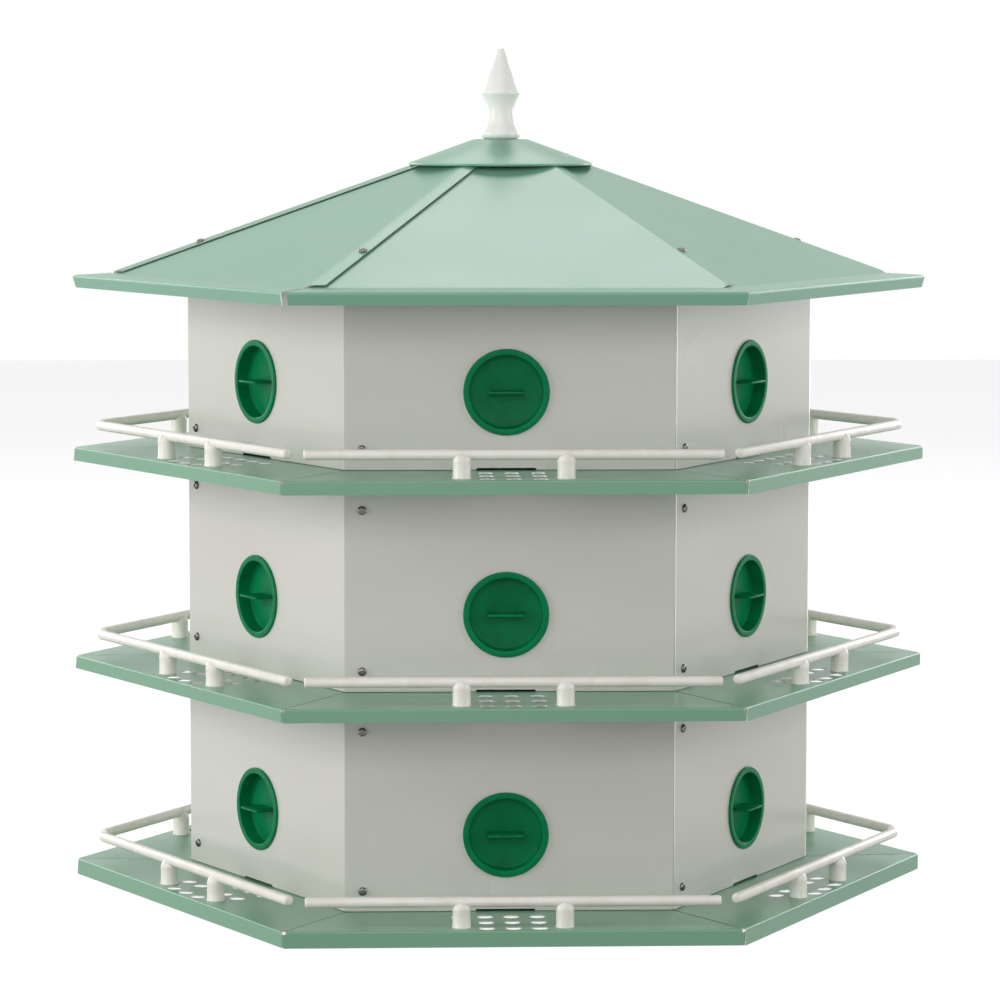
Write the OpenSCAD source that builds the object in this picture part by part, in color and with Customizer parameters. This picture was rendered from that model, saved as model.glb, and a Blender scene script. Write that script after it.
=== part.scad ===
// Purple martin house: three tiers of six rooms round a pole, under a six-sided hipped roof.
// Every wall, tray and roof panel is a folded aluminium sheet that laps over its neighbour.
// +Z is up, the front wall faces -Y, and the origin is under the pole where the house rests.

/* [House] */
// Width of one wall panel, from corner to corner
wall_w = 228.6; // [200:0.1:280]
// Height from one floor to the next
tier_h = 153.6; // [135:0.1:190]
// Thickness of the aluminium sheet
sheet = 0.8; // [0.5:0.1:1.2]
// Gap between two sheets that lap
lap_gap = 0.1; // [0.05:0.05:0.3]

/* [Walls] */
// Width of the edge that tucks behind the next wall
wall_tuck = 22; // [16:1:30]
// Diameter of the round entrance
entrance_d = 54; // [45:0.5:64]
// Height of the entrance's centre above the floor
entrance_z = 53.8; // [45:0.1:75]
// Shift of the entrance and the foot slot across the front wall
front_shift = -3; // [-12:0.5:12]
// The same on the right front wall
right_front_shift = 4.5; // [-12:0.5:12]
// The same on the left front wall
left_front_shift = -10.5; // [-12:0.5:12]
// Width of the slot at the wall's foot
foot_slot_w = 41; // [30:1:60]
// Height of the slot at the wall's foot
foot_slot_h = 1.6; // [1:0.1:3]
// Distance of the screws from the wall's left edge
wall_screw_x = 12; // [8:0.5:14]
// Height of the lower screw above the floor
wall_screw_low = 14.5; // [10:0.5:20]
// Distance of the upper screw below the next floor
wall_screw_drop = 27.5; // [20:0.5:35]
// Diameter of a screw hole
screw_hole_d = 3.4; // [3:0.1:4]

/* [Porches] */
// Depth of the porch in front of a wall
porch_depth = 73.1; // [60:0.1:100]
// Depth of the turned-down porch edge
fascia_h = 10; // [8:0.5:16]
// Distance of a turned-down edge's end from the corner
corner_gap = 2.2; // [1.5:0.1:4]
// Width of the flange that lies under the next tray
tray_lap = 12; // [8:1:20]
// Width of the tab behind the next turned-down edge
corner_tab = 9; // [5:1:14]
// Diameter of a vent hole
vent_d = 11.2; // [8:0.1:13]
// Distance between vent holes across the porch
vent_pitch_x = 18; // [16:0.5:22]
// Distance between rows of vent holes
vent_pitch_y = 21.5; // [15:0.5:22]
// Distance of the first row from the wall
vent_first = 21; // [14:0.5:24]

/* [Railings] */
// Length of the rail
rail_len = 283; // [240:1:300]
// Diameter of the rail
rail_d = 7.2; // [5:0.1:10]
// Height of the rail's centre above the floor
rail_z = 17.4; // [14:0.1:24]
// Distance of the rail from the porch edge
rail_inset = 14; // [10:0.5:20]
// Diameter of a post
post_d = 13; // [10:0.5:16]
// Height of a post above the floor
post_h = 18.4; // [14:0.1:26]
// Distance between the two posts
post_pitch = 70.4; // [60:0.1:90]

/* [Entrance plugs] */
// Diameter of the plug's flange
plug_flange_d = 59.5; // [56:0.1:70]
// Thickness of the flange
plug_flange_t = 1.8; // [1.2:0.1:3]
// Thickness of the cup's wall and floor
plug_wall = 1.3; // [1:0.1:1.6]
// Gap between the cup and the entrance, all round
plug_clear = 0.3; // [0.1:0.05:0.6]
// Depth of the cup, from the flange's face to its floor
plug_depth = 10; // [8:0.5:16]
// Width of the grip tab
tab_w = 25; // [18:0.5:36]
// Thickness of the grip tab
tab_t = 1.4; // [1.2:0.1:3]
// How far the grip tab stands out of the flange
tab_out = 6.2; // [3:0.1:9]

/* [Roof] */
// Distance of the eave beyond the wall
eave_out = 73; // [60:0.1:100]
// Width of the nearly flat lip along the eave
lip_w = 25; // [18:0.5:32]
// Fall of the lip from its crease to the eave
lip_fall = 1.6; // [1:0.1:4]
// Height of the crease above the top floor
crease_z = 127.3; // [122:0.1:131]
// Slope of the roof panels, in degrees
roof_slope = 22.4; // [18:0.1:26]
// Depth of the turned-down eave
eave_h = 9; // [6:0.5:14]
// How far the turned-down eave leans inwards, in degrees
eave_lean = 14; // [0:1:20]
// Width of the flange that lies over the next panel
ridge_lap = 11; // [8:1:24]
// Distance of the ridge screw from the pole's axis, level
ridge_screw_r = 219; // [180:1:240]
// Distance of the ridge screw from the edge of the flange
ridge_screw_edge = 3.5; // [3:0.5:8]
// Distance of the panels' upper edges from the pole's axis
roof_top_ap = 22; // [18:1:40]

/* [Cap and finial] */
// Diameter of the roof cap
cap_d = 134; // [110:1:170]
// Diameter of the cap's flat top
cap_top_d = 41; // [36:1:60]
// Slope of the cap, in degrees
cap_slope = 20; // [16:0.1:20]
// Height of the rolled edge
cap_roll_h = 2; // [1.5:0.1:4]
// Height of the finial
finial_h = 66; // [50:1:90]
// Largest diameter of the finial
finial_d = 28.8; // [24:0.1:34]
// Diameter of the finial's neck
finial_neck_d = 19.6; // [14:0.1:22]

/* [Pole sleeve] */
// Diameter of the pole that the house slides onto
pole_d = 50.8; // [38:0.1:60]
// Gap between the pole and the sleeve, all round
pole_clear = 0.5; // [0.2:0.1:1]
// Thickness of the sleeve's wall
sleeve_wall = 1.6; // [1.2:0.1:3]
// Gap between the sleeve and the trays, all round
sleeve_clear = 0.4; // [0.2:0.1:1]
// Width of the flange that carries the lowest trays
sleeve_flange_w = 30; // [20:1:50]

/* [Hidden] */

// Round holes and plugs
$fn = 96;

// Tiers, counted from the ground
LOWER = 0;
MIDDLE = 1;
UPPER = 2;
// Sides, counted anticlockwise from the front as seen from above
SIDES = 6;
FRONT = 0;
RIGHT_FRONT = 1;
RIGHT_BACK = 2;
BACK = 3;
LEFT_BACK = 4;
LEFT_FRONT = 5;

// Plan of the house: distances from the axis to the middle of a side
wall_ap = wall_w * cos(30);
porch_ap = wall_ap + porch_depth;
eave_ap = wall_ap + eave_out;
crease_ap = eave_ap - lip_w;

// Height of a floor's upper face
function floor_z(tier) = fascia_h + tier * tier_h;

// Height of a roof panel's outer face at a distance from the axis, inside the crease
function roof_z(ap) = floor_z(UPPER) + crease_z + (crease_ap - ap) * tan(roof_slope);

// Thickness of a roof sheet and of the cap's cone, measured plumb through their slopes
roof_v = sheet / cos(roof_slope);
cap_v = sheet / cos(cap_slope);

// Shift of a side's entrance, foot slot and plug across its wall
function entrance_x(side) =
    side == FRONT ? front_shift :
    side == RIGHT_FRONT ? right_front_shift :
    side == LEFT_FRONT ? left_front_shift : 0;

// Upper edge of a tier's walls: under the next trays' seam flanges, or under the roof panels
function wall_top(tier) = tier < UPPER ? floor_z(tier + 1) - 2 * sheet : roof_z(wall_ap) - roof_v;

// Gap left at a mitre between two sheets
mitre_gap = 0.3;
// Reach of a cutting tool past the face it cuts
cut = 1;

// Sleeve and the hole that the trays leave round it
sleeve_bore_r = pole_d / 2 + pole_clear;
sleeve_r = sleeve_bore_r + sleeve_wall;
tray_hole_r = sleeve_r + sleeve_clear;
sleeve_top = floor_z(UPPER) + 12;
sleeve_flange_z = floor_z(LOWER) - 2 * sheet;

// Fall of a ridge, and half the angle between two neighbouring roof panels
ridge_fall = atan(tan(roof_slope) * cos(30));
ridge_half = asin(sin(roof_slope) * sin(30));
// How far a ridge fold lifts off the next panel, and how far past the ridge it starts
ridge_lift = sheet + lap_gap;
ridge_start = ridge_lift / (2 * sin(ridge_half));
// Height of a fold's back over the line where the panels' inner faces meet, measured plumb
ridge_back = (ridge_lift + 2 * sheet) / (2 * cos(ridge_half) * cos(ridge_fall));

// Rim and top of the cap, which rests on the ridge folds
cap_r = cap_d / 2;
cap_top_r = cap_top_d / 2;
cap_rim_z = roof_z((cap_r - 2 * sheet) * cos(30)) - roof_v + ridge_back + lap_gap;
cap_top_z = cap_rim_z + cap_roll_h + (cap_r - cap_top_r) * tan(cap_slope);

// Turns a piece made for the front to another side
module on_side(side) {
    rotate([0, 0, side * 360 / SIDES]) children();
}

// Plan of a folded strip whose right end bends by 60 degrees and tucks inside the next one.
// The strip runs from x_left to a corner at x_corner on the line y = -ap.
module tucked_strip(x_left, x_corner, ap, tuck, gap) {
    along = [cos(60), sin(60)];
    inward = [-cos(30), sin(30)];
    outer = [x_corner - (sheet + gap) / cos(30), -ap];
    inner = [x_corner - (1.5 * sheet + gap) / cos(30), -ap + sheet];
    polygon([
        [x_left, -ap],
        outer,
        outer + tuck * along,
        outer + tuck * along + sheet * inward,
        inner,
        [x_left, -ap + sheet]
    ]);
}

// Drill that goes level through a sheet on the front side
module front_drill(x, z, d) {
    depth = 12;
    translate([x, -wall_ap - depth / 2, z]) rotate([-90, 0, 0]) cylinder(d = d, h = depth);
}

// Wall panel made for the front side, with its tucked right edge and its own side's entrance
module wall_panel(tier, side) {
    foot = floor_z(tier);
    corner_x = wall_w / 2;
    screw_x = wall_screw_x - corner_x;
    difference() {
        translate([0, 0, foot])
            linear_extrude(wall_top(tier) - foot)
                tucked_strip(lap_gap - corner_x, corner_x, wall_ap, wall_tuck, lap_gap);
        front_drill(entrance_x(side), foot + entrance_z, entrance_d);
        translate([entrance_x(side) - foot_slot_w / 2, -wall_ap - cut, foot - cut])
            cube([foot_slot_w, sheet + 2 * cut, foot_slot_h + cut]);
        for (z = [foot + wall_screw_low, foot + tier_h - wall_screw_drop]) {
            front_drill(screw_x, z, screw_hole_d);
            // The next wall's screw also goes through this wall's tucked edge
            on_side(1) front_drill(screw_x, z, screw_hole_d);
        }
    }
}

module wall(tier, side) {
    color("#D6D4CC") on_side(side) wall_panel(tier, side);
}

// Plan of one tray's floor: a sixth of a hexagon, less the middle
module tray_plan() {
    half = porch_ap * tan(30);
    pull = mitre_gap / cos(30);
    difference() {
        polygon([
            [-pull / 2, -pull / (2 * tan(30))],
            [-half, -porch_ap],
            [half - pull, -porch_ap]
        ]);
        circle(r = tray_hole_r);
    }
}

// Flange under the seam on the tray's right, which the next tray lies on
module seam_flange() {
    hold = 4;
    from_r = tray_hole_r + 1;
    to_r = (porch_ap - tray_lap / 2 - 3 * sheet) / cos(30);
    rotate([0, 0, -60])
        translate([from_r, -hold, -2 * sheet])
            cube([to_r - from_r, hold + tray_lap, sheet]);
}

// Vent holes of one porch: three rows, the outer one only between the posts
module vent_drills() {
    rows = 3;
    for (row = [0 : rows - 1]) {
        columns = row < rows - 1 ? 2 : 1;
        y = -wall_ap - vent_first - row * vent_pitch_y;
        for (column = [-columns : columns])
            translate([column * vent_pitch_x, y, -sheet - cut]) cylinder(d = vent_d, h = sheet + 2 * cut);
    }
}

// Tray of the front side: room floor and porch in one sheet, with its edge turned down
module tray(tier) {
    half = porch_ap * tan(30);
    tab_gap = corner_gap * cos(30) - sheet;
    translate([0, 0, floor_z(tier)]) difference() {
        union() {
            translate([0, 0, -sheet]) linear_extrude(sheet) tray_plan();
            seam_flange();
            translate([0, 0, -fascia_h])
                linear_extrude(fascia_h - sheet)
                    tucked_strip(corner_gap - half, half, porch_ap, corner_tab, tab_gap);
        }
        vent_drills();
    }
}

// Every other tray of a tier, so that the trays of one node stay apart
module trays(tier, first) {
    color("#8FBFA9") for (side = [first : 2 : SIDES - 1]) on_side(side) tray(tier);
}

// Post of a railing, with a domed head
module rail_post() {
    shank = post_h - post_d / 2;
    cylinder(d = post_d, h = shank);
    translate([0, 0, shank]) sphere(d = post_d);
}

// Railing of the front porch: a rail with round ends on two posts
module railing(tier) {
    straight = rail_len - rail_d;
    translate([0, rail_inset - porch_ap, floor_z(tier)]) {
        for (side = [-1, 1]) {
            translate([side * post_pitch / 2, 0, 0]) rail_post();
            translate([side * straight / 2, 0, rail_z]) sphere(d = rail_d);
        }
        translate([-straight / 2, 0, rail_z]) rotate([0, 90, 0]) cylinder(d = rail_d, h = straight);
    }
}

module railings(tier) {
    color("#E8E6E0") for (side = [0 : SIDES - 1]) on_side(side) railing(tier);
}

// Half section of a plug, with the flange's back at zero and the room below it
module plug_section(cup_floor) {
    cup_r = entrance_d / 2 - plug_clear;
    polygon([
        [0, cup_floor - plug_wall],
        [cup_r, cup_floor - plug_wall],
        [cup_r, 0],
        [plug_flange_d / 2, 0],
        [plug_flange_d / 2, plug_flange_t],
        [cup_r - plug_wall, plug_flange_t],
        [cup_r - plug_wall, cup_floor],
        [0, cup_floor]
    ]);
}

// Plug made for the front side: a flanged cup with a level grip tab across it
module plug(tier, side) {
    cup_floor = plug_flange_t - plug_depth;
    root = plug_wall / 2;
    translate([entrance_x(side), -wall_ap, floor_z(tier) + entrance_z]) rotate([90, 0, 0]) {
        rotate_extrude() plug_section(cup_floor);
        translate([-tab_w / 2, -tab_t / 2, cup_floor - root])
            cube([tab_w, tab_t, root + plug_depth + tab_out]);
    }
}

// Every other plug of a tier
module plugs(tier, first) {
    color("#0B6B43") for (side = [first : 2 : SIDES - 1]) on_side(side) plug(tier, side);
}

// Section of a roof panel from its upper edge down to the turned-down eave
module roof_section() {
    eave_z = roof_z(crease_ap) - lip_fall;
    lean = eave_h * tan(eave_lean);
    polygon([
        [lean - eave_ap, eave_z - eave_h],
        [-eave_ap, eave_z],
        [-crease_ap, roof_z(crease_ap)],
        [-roof_top_ap, roof_z(roof_top_ap)],
        [-roof_top_ap, roof_z(roof_top_ap) - roof_v],
        [-crease_ap, roof_z(crease_ap) - roof_v],
        [sheet - eave_ap, eave_z - roof_v],
        [lean + sheet - eave_ap, eave_z - eave_h]
    ]);
}

// Wedge of space over the front side, pulled back from its two ridges
module side_wedge(left_gap, right_gap) {
    reach = 2 * eave_ap;
    left = left_gap / cos(30);
    right = right_gap / cos(30);
    translate([0, 0, floor_z(UPPER)])
        linear_extrude(3 * tier_h)
            polygon([
                [(left - right) / 2, -(left + right) / (2 * tan(30))],
                [left - reach * tan(30), -reach],
                [reach * tan(30) - right, -reach]
            ]);
}

// Section of a ridge fold, square to the ridge: it keeps to this panel's slope on the left
// and lies over the next panel on the right
module ridge_section() {
    grip = 4;
    left = [-cos(ridge_half), -sin(ridge_half)];
    right = [cos(ridge_half), -sin(ridge_half)];
    left_up = [-sin(ridge_half), cos(ridge_half)];
    right_up = [sin(ridge_half), cos(ridge_half)];
    under = [ridge_start, ridge_lift / (2 * cos(ridge_half))];
    over = [ridge_start, (ridge_lift + 2 * sheet) / (2 * cos(ridge_half))];
    polygon([
        under,
        under + right * ridge_lap,
        under + right * ridge_lap + right_up * sheet,
        over,
        under + left * (grip + ridge_start) + left_up * sheet,
        under + left * (grip + ridge_start)
    ]);
}

// Frame of the front panel's right ridge: x runs down it, y to the next panel, z off the roof
module at_ridge(r) {
    rotate([0, 0, -60])
        translate([r, 0, roof_z(r * cos(30)) - roof_v])
            rotate([0, ridge_fall, 0]) children();
}

// Fold over the front panel's right ridge, cut off along the creases
module ridge_fold() {
    top_r = (ridge_lap + 22) / cos(30);
    length = (eave_ap - top_r) / cos(ridge_fall);
    intersection() {
        at_ridge(top_r) rotate([90, 0, 90]) linear_extrude(length) ridge_section();
        translate([0, 0, floor_z(UPPER)])
            cylinder(r = (crease_ap - cut) / cos(30), h = 3 * tier_h, $fn = SIDES);
    }
}

// Drill for the screw that holds the fold to the next panel
module ridge_drill() {
    at_ridge(ridge_screw_r)
        rotate([-ridge_half, 0, 0])
            translate([0, ridge_start + ridge_lap - ridge_screw_edge, -5])
                cylinder(d = screw_hole_d, h = 12);
}

// Roof panel of the front side, with its fold over the ridge on the right
module roof_panel() {
    half = porch_ap;
    difference() {
        union() {
            intersection() {
                translate([-half, 0, 0]) rotate([90, 0, 90]) linear_extrude(2 * half) roof_section();
                side_wedge(ridge_start + mitre_gap, mitre_gap);
            }
            ridge_fold();
        }
        ridge_drill();
        on_side(-1) ridge_drill();
    }
}

module roof_side(side) {
    color("#B4D3C4") on_side(side) roof_panel();
}

// Shallow sheet cone with a flat top and an edge turned down
module roof_cap() {
    shoulder_z = cap_rim_z + cap_roll_h;
    color("#A9CBBB") rotate_extrude() polygon([
        [0, cap_top_z],
        [cap_top_r, cap_top_z],
        [cap_r, shoulder_z],
        [cap_r, cap_rim_z],
        [cap_r - sheet, cap_rim_z],
        [cap_r - sheet, shoulder_z + sheet * tan(cap_slope) - cap_v],
        [cap_top_r - sheet * tan(cap_slope / 2), cap_top_z - sheet],
        [0, cap_top_z - sheet]
    ]);
}

// Half section of the finial: bead, hollow neck, sharp shoulder and a long rounded point
module finial_section() {
    r = finial_d / 2;
    neck_r = finial_neck_d / 2;
    bead_h = finial_h * 0.06;
    neck_h = finial_h * 0.29;
    shoulder_h = finial_h * 0.51;
    tip_r = 2.4;
    bead = [for (a = [-60 : 15 : 0]) [r - bead_h * 1.4 * (1 - cos(a)), bead_h * (1 + sin(a) / sin(60))]];
    neck = [for (i = [1 : 15])
        let (h = bead_h + i * (shoulder_h - bead_h) / 16, half = h < neck_h ? neck_h - bead_h : shoulder_h - neck_h)
        [neck_r + (r - neck_r) * pow((h - neck_h) / half, 2), h]];
    tip = [for (a = [20 : 14 : 90]) [tip_r * cos(a), finial_h - tip_r * (1 - sin(a))]];
    polygon(concat([[0, 0]], bead, neck, [[r, shoulder_h]], tip));
}

// Turned finial that stands on the cap
module finial() {
    color("#F0F0EC") translate([0, 0, cap_top_z]) rotate_extrude() finial_section();
}

// Sleeve that slides onto the pole: closed at its top, with a flange that carries the lowest trays
module pole_sleeve() {
    color("#B9BCBE") difference() {
        union() {
            cylinder(r = sleeve_r, h = sleeve_top);
            translate([0, 0, sleeve_flange_z - sleeve_wall])
                cylinder(r = sleeve_r + sleeve_flange_w, h = sleeve_wall);
        }
        translate([0, 0, -cut]) cylinder(r = sleeve_bore_r, h = sleeve_top - sleeve_wall + cut);
    }
}

wall(LOWER, FRONT);  // lower_front_wall
wall(LOWER, RIGHT_FRONT);  // lower_right_front_wall
wall(LOWER, RIGHT_BACK);  // lower_right_back_wall
wall(LOWER, BACK);  // lower_back_wall
wall(LOWER, LEFT_BACK);  // lower_left_back_wall
wall(LOWER, LEFT_FRONT);  // lower_left_front_wall
wall(MIDDLE, FRONT);  // middle_front_wall
wall(MIDDLE, RIGHT_FRONT);  // middle_right_front_wall
wall(MIDDLE, RIGHT_BACK);  // middle_right_back_wall
wall(MIDDLE, BACK);  // middle_back_wall
wall(MIDDLE, LEFT_BACK);  // middle_left_back_wall
wall(MIDDLE, LEFT_FRONT);  // middle_left_front_wall
wall(UPPER, FRONT);  // upper_front_wall
wall(UPPER, RIGHT_FRONT);  // upper_right_front_wall
wall(UPPER, RIGHT_BACK);  // upper_right_back_wall
wall(UPPER, BACK);  // upper_back_wall
wall(UPPER, LEFT_BACK);  // upper_left_back_wall
wall(UPPER, LEFT_FRONT);  // upper_left_front_wall
trays(LOWER, FRONT);  // lower_trays_a
trays(LOWER, RIGHT_FRONT);  // lower_trays_b
trays(MIDDLE, FRONT);  // middle_trays_a
trays(MIDDLE, RIGHT_FRONT);  // middle_trays_b
trays(UPPER, FRONT);  // upper_trays_a
trays(UPPER, RIGHT_FRONT);  // upper_trays_b
railings(LOWER);  // lower_railings
railings(MIDDLE);  // middle_railings
railings(UPPER);  // upper_railings
plugs(LOWER, FRONT);  // lower_plugs_a
plugs(LOWER, RIGHT_FRONT);  // lower_plugs_b
plugs(MIDDLE, FRONT);  // middle_plugs_a
plugs(MIDDLE, RIGHT_FRONT);  // middle_plugs_b
plugs(UPPER, FRONT);  // upper_plugs_a
plugs(UPPER, RIGHT_FRONT);  // upper_plugs_b
roof_side(FRONT);  // front_roof_panel
roof_side(RIGHT_FRONT);  // right_front_roof_panel
roof_side(RIGHT_BACK);  // right_back_roof_panel
roof_side(BACK);  // back_roof_panel
roof_side(LEFT_BACK);  // left_back_roof_panel
roof_side(LEFT_FRONT);  // left_front_roof_panel
roof_cap();
finial();
pole_sleeve();
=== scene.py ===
"""Purple martin house: three six-sided tiers of folded, enamelled aluminium round a pole sleeve.

Every wall, tray and roof panel is a flat blank that is punched, folded and given its thickness.
Sizes are in millimetres in the classes below, and make_piece() brings each piece to metres.
"""

import logging
import math
from collections.abc import Callable, Mapping, Sequence
from dataclasses import dataclass
from enum import Enum

import bmesh
import bpy
from mathutils import Euler, Matrix, Vector


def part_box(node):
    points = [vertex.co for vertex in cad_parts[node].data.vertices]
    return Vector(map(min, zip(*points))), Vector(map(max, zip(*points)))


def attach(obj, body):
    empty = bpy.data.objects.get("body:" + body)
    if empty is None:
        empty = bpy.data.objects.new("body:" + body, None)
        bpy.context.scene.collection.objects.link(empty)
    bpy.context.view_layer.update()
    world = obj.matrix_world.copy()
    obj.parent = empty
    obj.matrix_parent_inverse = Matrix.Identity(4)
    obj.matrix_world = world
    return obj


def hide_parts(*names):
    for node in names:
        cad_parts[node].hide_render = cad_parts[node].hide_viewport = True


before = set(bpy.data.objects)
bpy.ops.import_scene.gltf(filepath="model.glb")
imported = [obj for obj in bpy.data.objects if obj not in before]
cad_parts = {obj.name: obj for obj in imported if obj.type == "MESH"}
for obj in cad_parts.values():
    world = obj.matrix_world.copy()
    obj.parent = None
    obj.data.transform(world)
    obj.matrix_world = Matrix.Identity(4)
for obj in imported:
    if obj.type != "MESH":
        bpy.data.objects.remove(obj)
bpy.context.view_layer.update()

LOG = logging.getLogger("martin_house")

# One millimetre in the frame's metres
MM = 0.001
SIDES = 6
TAN30 = math.tan(math.radians(30))
COS30 = math.cos(math.radians(30))
SIN30 = 0.5
# Turn that stands a flat blank up as a wall, painted face out
UPRIGHT = Matrix.Rotation(math.pi / 2, 4, "X")

Point = tuple[float, float]


class Tier(Enum):
    """The three floors of rooms, counted from the ground."""

    LOWER = 0
    MIDDLE = 1
    UPPER = 2

    @property
    def label(self) -> str:
        """Name of the tier in the frame's nodes."""
        return self.name.lower()


class Side(Enum):
    """The six sides, counted anticlockwise from the front as seen from above."""

    FRONT = 0
    RIGHT_FRONT = 1
    RIGHT_BACK = 2
    BACK = 3
    LEFT_BACK = 4
    LEFT_FRONT = 5

    @property
    def label(self) -> str:
        """Name of the side in the frame's nodes."""
        return self.name.lower()

    @property
    def turn(self) -> Matrix:
        """Turn that brings a piece made for the front to this side."""
        return Matrix.Rotation(self.value * math.tau / SIDES, 4, "Z")


# ---------------------------------------------------------------------------
# Plan of the house, from the frame
# ---------------------------------------------------------------------------


@dataclass(frozen=True)
class HousePlan:
    """Levels and reaches of the house in millimetres, as the frame gives them.

    Attributes:
        wall_ap: Distance from the pole's axis to a wall's outer face.
        porch_ap: Distance from the axis to a porch edge.
        eave_ap: Distance from the axis to the eave.
        floors: Height of each tier's floor.
        wall_tops: Height of each tier's upper wall edge.
        eave_foot: Height of the turned-down eave's lower edge.
        cap_r: Radius of the roof cap.
        cap_rim: Height of the cap's lower edge.
        cap_top: Height of the cap's flat top.
        finial_top: Height of the finial's tip.
        sleeve_r: Outer radius of the pole sleeve's flange.
        sleeve_top: Height of the pole sleeve.
        sheet: Thickness of the aluminium sheet.
        lap: Gap between two sheets that lap.
        shifts: Shift of each side's entrance across its wall.
        rises: Rise of each tier's porches from the wall to their edge.
    """

    wall_ap: float
    porch_ap: float
    eave_ap: float
    floors: tuple[float, float, float]
    wall_tops: tuple[float, float, float]
    eave_foot: float
    cap_r: float
    cap_rim: float
    cap_top: float
    finial_top: float
    sleeve_r: float
    sleeve_top: float
    sheet: float = 0.8
    lap: float = 0.1
    shifts: tuple[float, ...] = (-3.0, 4.5, 0.0, 0.0, 0.0, -10.5)
    rises: tuple[float, float, float] = (1.5, -0.6, -0.2)

    @classmethod
    def from_frame(cls) -> "HousePlan":
        """Reads the levels and reaches off the frame's nodes.

        Returns:
            The plan, in millimetres.
        """
        walls = [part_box(f"{tier.label}_front_wall") for tier in Tier]
        roof_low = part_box("front_roof_panel")[0]
        cap_low, cap_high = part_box("roof_cap")
        sleeve_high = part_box("pole_sleeve")[1]
        return cls(
            wall_ap=-walls[0][0].y / MM,
            porch_ap=-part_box("lower_trays_a")[0].y / MM,
            eave_ap=-roof_low.y / MM,
            floors=tuple(low.z / MM for low, _ in walls),
            wall_tops=tuple(high.z / MM for _, high in walls),
            eave_foot=roof_low.z / MM,
            cap_r=cap_high.x / MM,
            cap_rim=cap_low.z / MM,
            cap_top=cap_high.z / MM,
            finial_top=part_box("finial")[1].z / MM,
            sleeve_r=sleeve_high.x / MM,
            sleeve_top=sleeve_high.z / MM,
        )

    @property
    def wall_w(self) -> float:
        """Width of one wall from corner to corner."""
        return 2 * self.wall_ap * TAN30

    @property
    def tier_h(self) -> float:
        """Height from one floor to the next."""
        return self.floors[1] - self.floors[0]


# ---------------------------------------------------------------------------
# Finishes
# ---------------------------------------------------------------------------


def rgb(code: str) -> tuple[float, float, float, float]:
    """Turns an sRGB hex colour into the linear colour that shaders take.

    Args:
        code: Colour as six hex digits, with or without a leading hash.

    Returns:
        Linear red, green and blue, with an alpha of one.
    """
    digits = code.lstrip("#")
    channels = [int(digits[i : i + 2], 16) / 255 for i in (0, 2, 4)]
    linear = [c / 12.92 if c <= 0.04045 else ((c + 0.055) / 1.055) ** 2.4 for c in channels]
    return (linear[0], linear[1], linear[2], 1.0)


def add_node(
    tree: bpy.types.NodeTree,
    kind: str,
    inputs: Mapping[str | int, object] | None = None,
    **settings: object,
) -> bpy.types.Node:
    """Adds a node with its settings and links.

    Args:
        tree: Node tree that takes the node.
        kind: Node type.
        inputs: For each input, the socket that it is linked from or the value that it holds.
        **settings: Attributes of the node.

    Returns:
        The new node.
    """
    node = tree.nodes.new(kind)
    for name, value in settings.items():
        setattr(node, name, value)
    for key, value in (inputs or {}).items():
        if isinstance(value, bpy.types.NodeSocket):
            tree.links.new(value, node.inputs[key])
        else:
            node.inputs[key].default_value = value
    return node


def blank_material(name: str) -> bpy.types.Material:
    """Makes a node material with nothing in it.

    Args:
        name: Name of the material.

    Returns:
        The material, whose tree is empty.
    """
    material = bpy.data.materials.new(name)
    material.use_nodes = True
    material.node_tree.nodes.clear()
    return material


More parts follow.
